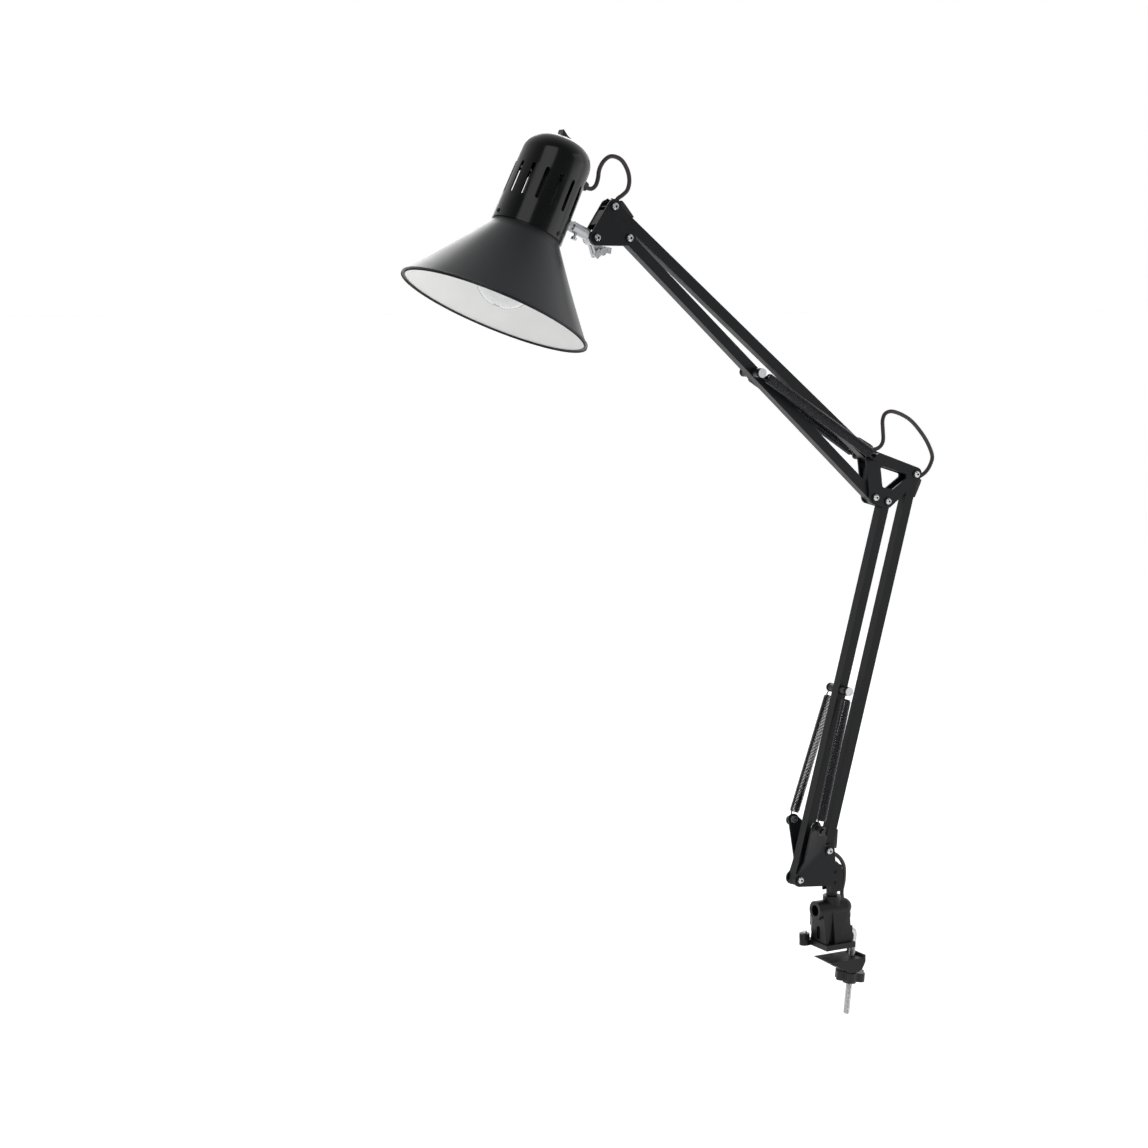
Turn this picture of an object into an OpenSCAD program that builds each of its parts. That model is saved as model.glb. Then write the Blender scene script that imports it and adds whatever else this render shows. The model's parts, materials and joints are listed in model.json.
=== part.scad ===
// Swing arm desk lamp with a desk clamp, sprung arms and a cone shade.
// +X points away from the shade, +Y to the rear, +Z up.
// The origin is the centre of the clamp foot's underside, where it rests on the desk.

/* [Arms] */
// Lower arm length, pivot to pivot
lower_len = 343; // [250:1:400]
// Upper arm length, pivot to pivot
upper_len = 336; // [250:1:400]
// Lower arm angle above +X
lower_ang = 75; // [70:1:90]
// Upper arm angle above +X
upper_ang = 138.4; // [136:0.1:150]
// Outside size of the square arm tube
bar_w = 9; // [8:0.5:9]
// Wall of the arm tube
bar_wall = 1; // [0.8:0.1:1.2]

/* [Clamp] */
// Side of the square clamp foot
foot_w = 31; // [28:1:36]
// Thickness of the clamp foot
foot_t = 5; // [4:0.5:6]
// Gap between the foot and the jaw as set
desk_gap = 12; // [8:1:20]
// Diameter of the swivel post
post_d = 10; // [8:1:10]
// Diameter of the clamp bolt
bolt_d = 6; // [5:1:6]

/* [Shade] */
// Diameter of the shade rim
rim_d = 158; // [140:1:170]
// Height of the cone
cone_h = 70; // [60:1:80]
// Diameter of the cap at its lower edge
cap_d = 60; // [56:1:62]
// Height of the cap
cap_h = 80; // [70:1:84]
// Tilt of the shade away from vertical
head_tilt = 25; // [0:1:30]
// Number of cooling slots round a full turn of the cap
slot_count = 15; // [12:1:18]

/* [Springs] */
// Outside diameter of a spring
spring_d = 9; // [7:0.5:9]
// Wire of a spring
wire_d = 1.1; // [0.8:0.1:1.4]

/* [Cord] */
// Diameter of the cord
cord_d = 3.6; // [3:0.1:4]

/* [Hidden] */
$fn = 48;
black = [0.10, 0.10, 0.11];
steel = [0.75, 0.76, 0.78];
nickel = [0.45, 0.45, 0.46];
white = [0.93, 0.93, 0.92];

function polar(len, ang) = [len * cos(ang), len * sin(ang)];

// Pivots as [x, z] in the lamp's middle plane
yoke_a = [-39, 66];
yoke_b = yoke_a + [30.7, 22.7];
elbow_a = yoke_a + polar(lower_len, lower_ang);
elbow_b = yoke_b + polar(lower_len, lower_ang);
elbow_c = elbow_a + [-13.5, 3.8];
elbow_d = elbow_c + [-5, 36];
head_a = elbow_c + polar(upper_len, upper_ang);
head_b = head_a + [-14, 25.2];
head_c = head_a + [-30.6, 0];
lower_mid = yoke_a + polar(lower_len / 2, lower_ang);
upper_mid = elbow_c + polar(upper_len / 2, upper_ang);
yoke_spring = [-29.5, 113.5];
top_bar = head_b - elbow_d;
top_bar_ang = atan2(top_bar[1], top_bar[0]);
top_bar_len = norm(top_bar);

// Heights across the lamp, from the middle plane outwards
half_w = bar_w / 2;
plate_in = 5;
plate_t = 1.6;
plate_out = plate_in + plate_t;
washer_t = 0.8;
pin_r = 2;
bore_r = 2.05;
head_r = 2.9;
washer_r = 3.8;
corner_r = 6.2;
eye = 5.2;
cord_r = cord_d / 2;
// Where a cord goes in under a bar's cover: along the bar from the pivot, and out from its middle
entry = [4.4, 5.2];
cover_len = 20;
cover_from = 3;

// Outward leaning wings of the yoke, and the groove of the spring spool on each
ear_fold = 22;
fold_ang = atan2(22.7, 30.7);
fold_h = 6;
groove_out = 5;
anchor = yoke_spring - yoke_a;
anchor_up = anchor[1] * cos(fold_ang) - anchor[0] * sin(fold_ang) - fold_h;
wing_at = [anchor[0] * cos(fold_ang) + anchor[1] * sin(fold_ang),
           (anchor_up + groove_out * sin(ear_fold)) / cos(ear_fold)];
spring_low_y = plate_in + wing_at[1] * sin(ear_fold) + groove_out * cos(ear_fold);
spring_mid_y = 12.5;
spring_top_y = 14;

// Head frame: origin at the rim centre, local +Z up the shade, local +X towards the arm
stud_s = 92;
stud_reach = 57;
head_org = head_c - [stud_reach * cos(head_tilt) + stud_s * sin(head_tilt),
                     -stud_reach * sin(head_tilt) + stud_s * cos(head_tilt)];

// Clamp bolt line
bolt_lean = 5.6;
bolt_top = [25.3, 11.4];
socket_z = 34;
socket_r = 8.5;
socket_depth = 12;
socket_x = 18;
socket_end = 12;
post_foot = 8;
socket_top = 46;

// Hank of cord, lying on the desk behind the clamp
hank_ang = 55;
hank_c = [32.9, 49];
hank_len = 70;
hank_w = 34;
hank_h = 4 * cord_d;

// ---- helpers -------------------------------------------------------------

// Cylinder across the lamp at the [x, z] point, from y0 to y1
module across(at, y0, y1, r) {
    translate([at[0], y1, at[1]]) rotate([90, 0, 0]) cylinder(h = y1 - y0, r = r);
}

// A drawing in the lamp's plane, given thickness from y0 to y1
module sheet(y0, y1) {
    translate([0, y1, 0]) rotate([90, 0, 0]) linear_extrude(y1 - y0) children();
}

module spot(at, r) {
    translate(at) circle(r = r, $fn = 32);
}

// Puts a bar drawn along +X at a pivot
module along(at, ang) {
    translate([at[0], 0, at[1]]) rotate([0, -ang, 0]) children();
}

module in_head() {
    translate([head_org[0], 0, head_org[1]]) rotate([0, head_tilt, 0]) children();
}

// Button head screw with its washer and nut, through both plates
module through_screw(at, y0 = -plate_out, y1 = plate_out) {
    across(at, y0 - washer_t, y1 + washer_t, pin_r);
    screw_face(at, y0, -1);
    nut_face(at, y1, 1);
}

module screw_face(at, y, side) {
    translate([at[0], y, at[1]]) rotate([-90 * side, 0, 0]) difference() {
        union() {
            cylinder(h = washer_t, r = washer_r);
            translate([0, 0, washer_t]) cylinder(h = 1, r = head_r);
            translate([0, 0, washer_t + 1]) cylinder(h = 1.1, r1 = head_r, r2 = 1.9);
        }
        translate([0, 0, washer_t + 1.1]) cylinder(h = 2, r = 1.1, $fn = 6);
    }
}

module nut_face(at, y, side) {
    translate([at[0], y, at[1]]) rotate([-90 * side, 0, 0]) {
        cylinder(h = washer_t, r = washer_r);
        translate([0, 0, washer_t]) cylinder(h = 2.8, r = 3.6, $fn = 6);
    }
}

// Square tube between two pivots, with a bore at each
module tube_bar(len, slotted) {
    inner = bar_w - 2 * bar_wall;
    difference() {
        translate([-eye, -half_w, -half_w]) cube([len + 2 * eye, bar_w, bar_w]);
        translate([-eye - 1, -inner / 2, -inner / 2]) cube([len + 2 * eye + 2, inner, inner]);
        for (s = [0, len]) across([s, 0], -half_w - 1, half_w + 1, bore_r);
        if (slotted) for (s = [-eye - 1, len - cover_len - 4])
            translate([s, -2.4, 0]) cube([cover_len + eye + 5, 4.8, half_w + 1]);
    }
}

// Cap over the cord slot at one end of a bar, drawn on the bar's +Z face
module bar_cover() {
    difference() {
        sheet(-half_w, half_w)
            polygon([[cover_from, half_w], [cover_from, 9.2], [7, 8.8],
                     [cover_len, 6.2], [cover_len, half_w]]);
        sheet(-2.6, 2.6)
            polygon([[0, half_w - 1], [0, 9], [7, 7.4], [cover_len - 1, 5.4], [cover_len - 1, half_w - 1]]);
    }
}

// Plain envelope of a spring between two points [x, y, z]
module spring_tube(from, to) {
    v = to - from;
    len = norm(v);
    hook = 7;
    rod_from = 5.4;
    translate(from) rotate([0, acos(v[2] / len), atan2(v[1], v[0])]) difference() {
        union() {
            translate([0, 0, hook]) cylinder(h = len - 2 * hook, d = spring_d);
            translate([0, 0, rod_from]) cylinder(h = len - 2 * rod_from, r = 1);
        }
        translate([0, 0, hook + 2]) cylinder(h = len - 2 * hook - 4, d = spring_d - 2 * wire_d);
    }
}

// Unit vector, tangent and ring helpers for a swept round cord
function unit(v) = v / max(norm(v), 0.000001);
function tangent(p, i) = unit(p[min(i + 1, len(p) - 1)] - p[max(i - 1, 0)]);
function side_of(t) = unit(abs(t[2]) > 0.9 ? cross(t, [1, 0, 0]) : cross(t, [0, 0, 1]));
function carry(s, t) = unit(s - t * (s * t));
function frames(p, i = 0, s = [0, 0, 0]) =
    let (t = tangent(p, i), u = i == 0 ? side_of(t) : carry(s, t))
    i == len(p) - 1 ? [[t, u]] : concat([[t, u]], frames(p, i + 1, u));
function ring(c, t, u, r, n) =
    [for (k = [0 : n - 1]) c + r * (u * cos(360 * k / n) + cross(t, u) * sin(360 * k / n))];

// Round tube swept along points
module sweep(p, r, n = 8) {
    f = frames(p);
    m = len(p);
    pts = [for (i = [0 : m - 1]) each ring(p[i], f[i][0], f[i][1], r, n)];
    walls = [for (i = [0 : m - 2]) for (k = [0 : n - 1])
        [i * n + k, i * n + (k + 1) % n, (i + 1) * n + (k + 1) % n, (i + 1) * n + k]];
    polyhedron(pts, concat([[for (k = [n - 1 : -1 : 0]) k]], walls,
        [[for (k = [0 : n - 1]) (m - 1) * n + k]]), convexity = 8);
}

// One smooth curve through the route's points (Catmull-Rom), a few steps to each span
function cat(a, b, c, d, t) =
    0.5 * (2 * b + (c - a) * t + (2 * a - 5 * b + 4 * c - d) * t * t + (3 * b - a - 3 * c + d) * t * t * t);
function smooth_route(p, steps = 3) = concat(
    [for (i = [0 : len(p) - 2]) for (k = [0 : steps - 1])
        cat(p[max(i - 1, 0)], p[i], p[i + 1], p[min(i + 2, len(p) - 1)], k / steps)],
    [p[len(p) - 1]]);

// A point in a bar's own axes [along, outwards] as a place in the lamp
function on_bar(at, ang, s, t) =
    [at[0] + s * cos(ang) - t * sin(ang), 0, at[1] + s * sin(ang) + t * cos(ang)];
// A point in the head's axes as a place in the lamp
function on_head(x, y, z) = [head_org[0] + x * cos(head_tilt) + z * sin(head_tilt), y,
                             head_org[1] - x * sin(head_tilt) + z * cos(head_tilt)];

// ---- clamp ---------------------------------------------------------------

module base_casting() {
    color(black) difference() {
        union() {
            translate([-foot_w / 2, -foot_w / 2, 0]) cube([foot_w, foot_w, foot_t]);
            hull() {
                translate([-14, -12, foot_t - 1]) cube([28, 24, 1]);
                translate([-14, -7.5, socket_z]) cube([28, 15, 1]);
            }
            // Upright rib down the middle of the front and back
            hull() {
                translate([-4.6, -12.9, foot_t - 1]) cube([3, 25.8, 1]);
                translate([-4.6, -8.1, socket_z]) cube([3, 16.2, 1]);
            }
            translate([-socket_x, 0, socket_z]) rotate([0, 90, 0])
                cylinder(h = socket_x + socket_end, r = socket_r);
            translate([socket_end, 0, socket_z]) sphere(r = socket_r - 0.5);
            translate([0, 0, foot_t]) cylinder(h = socket_top - foot_t, r = 8);
            translate([-20, 9, 0]) cube([8, 8, foot_t]);
            translate([-20, 13, 0]) cylinder(h = foot_t, r = 4.5);
            translate([13, -6, foot_t - 1]) cube([6, 12, 13]);
        }
        // Swivel bore
        translate([0, 0, post_foot]) cylinder(h = socket_top, r = post_d / 2 + 0.05);
        // Side socket
        translate([-socket_x - 1, 0, socket_z]) rotate([0, 90, 0])
            cylinder(h = socket_depth + 1, r = post_d / 2 + 0.05);
        // Valleys between the ribs, front and back
        for (side = [-1, 1]) sheet(side > 0 ? 8.6 : -20, side > 0 ? 20 : -8.6)
            polygon([[-11.5, foot_t], [-5, foot_t], [-5, 29]]);
        // Oblong pocket below the side socket
        translate([-19, -2.5, 10]) cube([7, 5, 7]);
        for (z = [10, 17]) translate([-19, 0, z]) rotate([0, 90, 0]) cylinder(h = 7, r = 2.5);
        // Hole for the hooked end of the clamp bolt
        translate([11, 0, bolt_top[1]]) rotate([0, 90, 0]) cylinder(h = 10, r = bolt_d / 2 + 0.2);
        // Fixing bolt hole
        translate([-20, 13, -1]) cylinder(h = foot_t + 2, r = 2.2);
    }
}

// Places a thing on the clamp bolt's leaning line, with its +Z up the bolt
module on_bolt(down) {
    translate([bolt_top[0], 0, bolt_top[1]]) rotate([0, bolt_lean, 0]) translate([0, 0, -down]) children();
}

// The bolt's top end turns over into the casting at a knuckle of slightly larger radius
bolt_tip = 12.2;
bolt_len = 78;
module clamp_bolt() {
    color(steel) {
        on_bolt(bolt_len) cylinder(h = bolt_len, r = bolt_d / 2);
        translate([bolt_top[0], 0, bolt_top[1]]) sphere(r = bolt_d / 2 + 0.2);
        translate([bolt_tip, 0, bolt_top[1]]) rotate([0, 90, 0])
            cylinder(h = bolt_top[0] - bolt_tip, r = bolt_d / 2);
    }
}

module fixing_bolt() {
    color(black) translate([-20, 13, foot_t + 0.05]) cylinder(h = 5.5, r = 5.2, $fn = 6);
    color(steel) translate([-20, 13, 0.4]) cylinder(h = 12.4, r = 2.1);
}

module clamp_jaw() {
    top = -desk_gap;
    color(black) difference() {
        union() {
            sheet(-13, 13) polygon([[-10, top], [26.4, top], [27, top + 2.6], [28.8, top + 2.4],
                [28.8, top - 4], [25.6, top - 10], [22, top - 12.5], [12, top - 12.5]]);
        }
        sheet(-9.5, 9.5) polygon([[-9, top - 4], [25.6, top - 3], [25.6, top - 20], [-9, top - 20]]);
        on_bolt(55) cylinder(h = 60, r = bolt_d / 2 + 0.3);
    }
    color(black) difference() {
        on_bolt(37.9) cylinder(h = 13.5, r = 6);
        on_bolt(55) cylinder(h = 60, r = bolt_d / 2 + 0.3);
        sheet(-20, 20) polygon([[0, top - 1], [50, top - 1], [50, top + 20], [0, top + 20]]);
    }
}

module clamp_knob() {
    color(black) on_bolt(46) difference() {
        union() {
            cylinder(h = 8, r = 11);
            for (a = [0 : 60 : 300]) rotate([0, 0, a]) translate([9.5, 0, 0]) cylinder(h = 8, r = 4.6);
            translate([0, 0, -3]) cylinder(h = 3.5, r = 6);
        }
        translate([0, 0, -4]) cylinder(h = 14, r = bolt_d / 2 + 0.05);
        for (a = [30 : 60 : 330]) rotate([0, 0, a]) translate([15.6, 0, -1]) cylinder(h = 10, r = 3.6);
    }
}

// ---- yoke ----------------------------------------------------------------

module swivel_post() {
    color(black) difference() {
        translate([0, 0, post_foot + 0.2]) cylinder(h = 68, r = post_d / 2);
        for (z = [58, 68]) across([0, z], -9, 9, 1.5);
    }
}

module ear_shape() {
    polygon([[-39.5, 59.8], [-6, 56.5], [-6, 50.5], [6, 50.5], [6, 74], [-1, 78],
        [-2.2, 88.7], [-6, 94], [-12, 93.6], [-42.7, 71], [-45.2, 66]]);
    for (p = [yoke_a, yoke_b]) spot(p, corner_r);
}

// The plane of an ear's outward leaning wing: +X along the fold, +Z up the wing, -Y outwards
module on_wing() {
    translate([yoke_a[0], -plate_in, yoke_a[1]]) rotate([0, -fold_ang, 0])
        translate([0, 0, fold_h]) rotate([ear_fold, 0, 0]) children();
}

module ear_wing() {
    on_wing() difference() {
        rotate([90, 0, 0]) linear_extrude(plate_t) {
            polygon([[0, 0], [37, 0], [42.5, 8], [wing_at[0] + 5.1, wing_at[1] - 1],
                [wing_at[0] - 5, wing_at[1] + 1.4], [12, 6]]);
            translate(wing_at) circle(r = 5.2);
        }
        translate([wing_at[0], 1, wing_at[1]]) rotate([90, 0, 0]) cylinder(h = 4, r = 1.55);
    }
}

module yoke_bracket() {
    color(black) difference() {
        union() {
            for (m = [0, 1]) mirror([0, m, 0]) {
                sheet(-plate_out, -plate_in) ear_shape();
                ear_wing();
            }
            // Web that joins the ears behind the post
            translate([6 - plate_t + 0.8, -plate_out, 50.5]) cube([plate_t, 2 * plate_out, 20]);
        }
        for (p = [yoke_a, yoke_b]) across(p, -12, 12, bore_r);
        for (z = [58, 68]) across([0, z], -12, 12, 1.5);
    }
}

module yoke_screws() {
    color(steel) {
        for (p = [yoke_a, yoke_b]) through_screw(p);
        for (z = [58, 68]) across([0, z], -plate_out - 0.8, plate_out + 0.8, 1.5);
        // Spool screws, with their heads on the wings' inner faces
        for (m = [0, 1]) mirror([0, m, 0]) on_wing()
            translate([wing_at[0], 0, wing_at[1]]) rotate([90, 0, 0]) {
            translate([0, 0, -1.9]) cylinder(h = 1.9, r = 3.1);
            cylinder(h = groove_out + 4.6, r = 1.5);
            translate([0, 0, groove_out + 3.8]) cylinder(h = 1.6, r = 2.9, $fn = 6);
        }
    }
}

module spring_spools() {
    color(black) for (m = [0, 1]) mirror([0, m, 0])
        on_wing() translate([wing_at[0], 0, wing_at[1]]) rotate([90, 0, 0]) difference() {
            union() {
                translate([0, 0, plate_t]) cylinder(h = groove_out - plate_t + 3.7, r = 2.6);
                translate([0, 0, plate_t]) cylinder(h = 1.7, r = 4.4);
                translate([0, 0, groove_out + 1.7]) cylinder(h = 2, r = 4.4);
            }
            cylinder(h = 12, r = 1.5);
        }
}

// ---- lower arm -----------------------------------------------------------

module lower_front_bar() {
    color(black) difference() {
        along(yoke_a, lower_ang) tube_bar(lower_len, false);
        across(lower_mid, -half_w - 1, half_w + 1, 2.5);
    }
}

module lower_rear_bar() {
    color(black) along(yoke_b, lower_ang) mirror([0, 0, 1]) tube_bar(lower_len, true);
}

module lower_bar_covers() {
    color(black) along(yoke_b, lower_ang) mirror([0, 0, 1]) {
        bar_cover();
        translate([lower_len, 0, 0]) mirror([1, 0, 0]) bar_cover();
    }
}

module crosspin(at, reach) {
    color(steel) across(at, -reach - 2.4, reach + 2.4, 2.5);
    color(black) for (m = [0, 1]) mirror([0, m, 0]) {
        difference() {
            union() {
                across(at, -reach + 1.2, -half_w, 4);
                across(at, -reach - 2.5, -reach - 1.2, 4);
                across(at, -reach - 1.3, -reach + 1.3, 3);
            }
            across(at, -reach - 3, 0, 2.5);
        }
    }
}

module lower_crosspin() { crosspin(lower_mid, spring_mid_y); }

// ---- elbow ---------------------------------------------------------------

elbow_web = [29.4, 414];
module elbow_shape() {
    difference() {
        hull() {
            for (p = [elbow_a, elbow_b, elbow_c, elbow_d]) spot(p, corner_r);
        }
        // Three-cornered window with rounded corners
        hull() {
            spot([43.6, 426.2], 2);
            spot([45.6, 411.6], 2);
            spot([54.6, 409.6], 2);
            spot([68.6, 418.6], 2);
        }
    }
}

module elbow_bracket() {
    color(black) difference() {
        union() {
            for (m = [0, 1]) mirror([0, m, 0]) sheet(-plate_out, -plate_in) elbow_shape();
            // Web that joins the plates between the two upper bars
            translate([elbow_web[0], -plate_out, elbow_web[1]]) cube([plate_t, 2 * plate_out, 13]);
        }
        for (p = [elbow_a, elbow_b, elbow_c, elbow_d]) across(p, -12, 12, bore_r);
    }
}

module elbow_screws() {
    color(steel) {
        for (p = [elbow_a, elbow_b, elbow_c]) through_screw(p);
        across(elbow_d, -spring_top_y - 3.4, spring_top_y + 3.4, pin_r);
        for (m = [0, 1]) mirror([0, m, 0]) {
            across(elbow_d, -spring_top_y - 3.6, -spring_top_y - 1.4, 3.6);
            across(elbow_d, -spring_top_y + 1.4, -plate_out, 3.6);
        }
    }
}

// ---- upper arm -----------------------------------------------------------

module upper_lower_bar() {
    color(black) difference() {
        along(elbow_c, upper_ang) tube_bar(upper_len, false);
        across(upper_mid, -half_w - 1, half_w + 1, 2.5);
    }
}

module upper_upper_bar() {
    color(black) along(elbow_d, top_bar_ang) mirror([0, 0, 1]) tube_bar(top_bar_len, true);
}

module upper_bar_covers() {
    color(black) along(elbow_d, top_bar_ang) mirror([0, 0, 1]) {
        bar_cover();
        translate([top_bar_len, 0, 0]) mirror([1, 0, 0]) bar_cover();
    }
}

module upper_crosspin() { crosspin(upper_mid, spring_mid_y); }

function flat(p, y) = [p[0], y, p[1]];
module spring_lower_left() {
    color(nickel) spring_tube(flat(yoke_spring, -spring_low_y), flat(lower_mid, -spring_mid_y));
}
module spring_lower_right() {
    color(nickel) spring_tube(flat(yoke_spring, spring_low_y), flat(lower_mid, spring_mid_y));
}
module spring_upper_left() {
    color(nickel) spring_tube(flat(elbow_d, -spring_top_y), flat(upper_mid, -spring_mid_y));
}
module spring_upper_right() {
    color(nickel) spring_tube(flat(elbow_d, spring_top_y), flat(upper_mid, spring_mid_y));
}

// ---- head ----------------------------------------------------------------

module head_bracket() {
    color(black) difference() {
        union() {
            for (m = [0, 1]) mirror([0, m, 0]) sheet(-plate_out, -plate_in) hull() {
                for (p = [head_a, head_b, head_c]) spot(p, corner_r);
            }
            // Web on the lamp side
            translate([head_c[0], 0, head_c[1]]) rotate([0, -atan2(25.2, 16.6), 0])
                translate([9, -plate_out + 0.2, corner_r - plate_t - 0.4])
                    cube([14, 2 * plate_out - 0.4, plate_t]);
        }
        for (p = [head_a, head_b, head_c]) across(p, -12, 12, bore_r);
    }
}

module head_bracket_screws() {
    color(steel) {
        through_screw(head_b);
        // The lower screw is two short ones, so the lower bar's end stays free between the plates
        for (m = [0, 1]) mirror([0, m, 0]) across(head_a, -plate_out - washer_t, -plate_in - 0.1, pin_r);
        screw_face(head_a, -plate_out, -1);
        nut_face(head_a, plate_out, 1);
    }
}

module tilt_screw() { color(steel) through_screw(head_c); }

stud_r = 2.5;
lug_down = 12.2;
lug_lean = 19;

// Local -Z points down the knuckle's lug
module on_lug() {
    translate([head_c[0], 0, head_c[1]]) rotate([0, -lug_lean, 0]) children();
}

module knuckle() {
    color(steel) difference() {
        union() {
            across(head_c, -4.7, 4.7, 6.6);
            // Barrel round the stud, on the head's cross axis
            in_head() translate([36, 0, stud_s]) rotate([0, 90, 0]) cylinder(h = 15, r = 4.8);
            // Lug of the clamping slit
            on_lug() translate([-4, -4.5, -lug_down - 3.4]) cube([8, 9, lug_down]);
        }
        across(head_c, -6, 6, bore_r);
        in_head() translate([30, 0, stud_s]) rotate([0, 90, 0]) cylinder(h = 15.4, r = stud_r + 0.05);
        on_lug() {
            translate([-5, -0.6, -lug_down - 5]) cube([10, 1.2, lug_down + 2]);
            translate([0, 0, -lug_down]) rotate([90, 0, 0]) cylinder(h = 20, r = 1.6, center = true);
        }
        in_head() translate([41, 0, stud_s - 9]) cylinder(h = 7, r = 1.25);
    }
}

// Clamping screw of the knuckle with a wing head, and the small grub screw that holds the stud
module knuckle_thumb_screw() {
    color(steel) on_lug() translate([0, 0, -lug_down]) {
        rotate([90, 0, 0]) cylinder(h = 20, r = 1.55, center = true);
        translate([0, -4.6, 0]) rotate([90, 0, 0]) cylinder(h = 2.6, r = 2.8);
        for (side = [-1, 1]) translate([side * 4.6, -8.6, 0]) rotate([0, side * 30, 0])
            cube([7, 1.8, 5], center = true);
        translate([0, -7, 0]) rotate([90, 0, 0]) cylinder(h = 3, r = 3);
        translate([0, 7.2, 0]) rotate([90, 0, 0]) cylinder(h = 2.6, r = 2.8, $fn = 6);
    }
    color(steel) in_head() translate([41, 0, stud_s - 9.6]) {
        cylinder(h = 6, r = 1.2);
        cylinder(h = 2.4, r = 2.4);
    }
}

module swivel_stud() {
    color(steel) in_head() translate([25.5, 0, stud_s]) rotate([0, 90, 0]) {
        cylinder(h = 19.4, r = stud_r);
        cylinder(h = 2.4, r = 5.4, $fn = 6);
    }
}

module stud_nut() {
    color(steel) in_head() translate([30.1, 0, stud_s]) rotate([0, 90, 0]) difference() {
        cylinder(h = 4, r = 5.2, $fn = 6);
        translate([0, 0, -1]) cylinder(h = 8, r = stud_r);
    }
}

wall = 1;
rivet_at = [-62, 60, 180];
rivet_s = cone_h + 4.5;
rivet_r = 1.2;
module rivet_hole(r) {
    translate([r - 5, 0, rivet_s]) rotate([0, 90, 0]) cylinder(h = 8, r = rivet_r + 0.05);
}

module shade() {
    rim_r = rim_d / 2;
    neck_r = cap_d / 2 - 1.3;
    color(black) in_head() difference() {
        rotate_extrude($fn = 96) polygon([
        [rim_r - wall, 0], [rim_r + 0.4, -0.6], [rim_r + 1, 0.4], [rim_r + 0.8, 2.2], [rim_r - 0.6, 2.6],
        [neck_r + 0.4, cone_h - 2], [neck_r, cone_h], [neck_r, cone_h + 6],
        [neck_r - wall, cone_h + 6], [neck_r - wall, cone_h - 0.4], [rim_r - wall - 1.6, 2.4]]);
        for (a = rivet_at) rotate([0, 0, a]) rivet_hole(neck_r);
    }
}

slot_len = 27;
slot_w = 3.4;
slot_low = 93;
module shade_cap() {
    out_r = cap_d / 2;
    top_s = cone_h + cap_h;
    corner = 18;
    arc = [for (a = [0 : 10 : 90]) [out_r - 1 - corner + corner * cos(a), top_s - corner + corner * sin(a)]];
    arc_in = [for (a = [90 : -10 : 0])
        [out_r - 2 - corner + corner * cos(a), top_s - wall - corner + corner * sin(a)]];
    color(black) difference() {
        in_head() rotate_extrude($fn = 96) polygon(concat(
            [[out_r, cone_h + 0.3]], arc, [[0, top_s]],
            [[0, top_s - wall]], arc_in, [[out_r - wall, cone_h + 0.3]]));
        in_head() {
            for (k = [0 : slot_count - 1]) let (a = -97 + k * 360 / slot_count)
                if (abs(a - 9) > 30) rotate([0, 0, a]) {
                    translate([out_r - 6, -slot_w / 2, slot_low]) cube([12, slot_w, slot_len - slot_w]);
                    for (z = [0, slot_len - slot_w])
                        translate([out_r - 6, 0, slot_low + z]) rotate([0, 90, 0])
                            cylinder(h = 12, r = slot_w / 2, $fn = 24);
                }
            // Stud, cord and switch openings
            translate([out_r - 6, 0, stud_s]) rotate([0, 90, 0]) cylinder(h = 12, r = stud_r);
            translate([out_r - 8, 0, 126]) rotate([0, 90, 0]) cylinder(h = 14, r = 3.4);
            translate([-7, -5.4, top_s - 4]) cube([14, 10.8, 8]);
            for (a = rivet_at) rotate([0, 0, a]) rivet_hole(out_r);
        }
    }
}

module cap_screws() {
    color(steel) in_head() for (a = rivet_at)
        rotate([0, 0, a]) translate([cap_d / 2, 0, rivet_s]) rotate([0, 90, 0]) {
        translate([0, 0, -3.4]) cylinder(h = 4, r = rivet_r);
        translate([0, 0, 0.02]) cylinder(h = 0.9, r1 = 1.9, r2 = 1.4);
    }
}

holder_r = 15;
module lampholder() {
    color(black) in_head() difference() {
        union() {
            translate([0, 0, 86]) cylinder(h = 36, r = holder_r);
            translate([0, 0, 122]) cylinder(h = 5, r1 = holder_r, r2 = 10);
            // Bracket arms to the cap's wall
            for (a = [30, 150, 270]) rotate([0, 0, a]) translate([0, -4, 118]) cube([28.8, 8, 1.6]);
        }
        translate([0, 0, 80]) cylinder(h = 34, r = 13.4);
        translate([0, 0, 116]) cylinder(h = 20, r = 4);
    }
}

module bulb_screw_cap() {
    color(steel) in_head() {
        translate([0, 0, 88]) cylinder(h = 21, r = 13.2);
        translate([0, 0, 109]) cylinder(h = 4, r1 = 12, r2 = 5);
    }
}

module bulb_glass() {
    ball_r = 27;
    ball_z = 32;
    color([0.9, 0.9, 0.9]) in_head() rotate_extrude($fn = 64) polygon(concat(
        [for (a = [-90 : 9 : 45]) [ball_r * cos(a), ball_z + ball_r * sin(a)]],
        [[14.5, 66], [13.1, 88], [0, 88]]));
}

top_s = 150;
module switch_bezel() {
    color(white) in_head() difference() {
        translate([-8, -6.4, top_s - 1]) cube([16, 12.8, 2.4]);
        translate([-6, -4.6, top_s - 5]) cube([12, 9.2, 10]);
    }
    color(white) in_head() difference() {
        translate([-7, -5.4, top_s - 12]) cube([14, 10.8, 11.2]);
        translate([-6, -4.6, top_s - 10.5]) cube([12, 9.2, 12]);
    }
}

// The rocker turns about a line across the head at this height
rocker_axis = 149;
module switch_rocker() {
    color(black) in_head() {
        sheet(-4.2, 4.2) polygon([[-4.6, rocker_axis - 4.5], [4.6, rocker_axis - 4.5],
            [5.6, top_s + 2.6], [0, top_s + 4.2], [-5.6, top_s + 7.2]]);
        // Stub pivots in the bezel's side walls
        across([0, rocker_axis], -4.5, 4.5, 1.2);
    }
}

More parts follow.
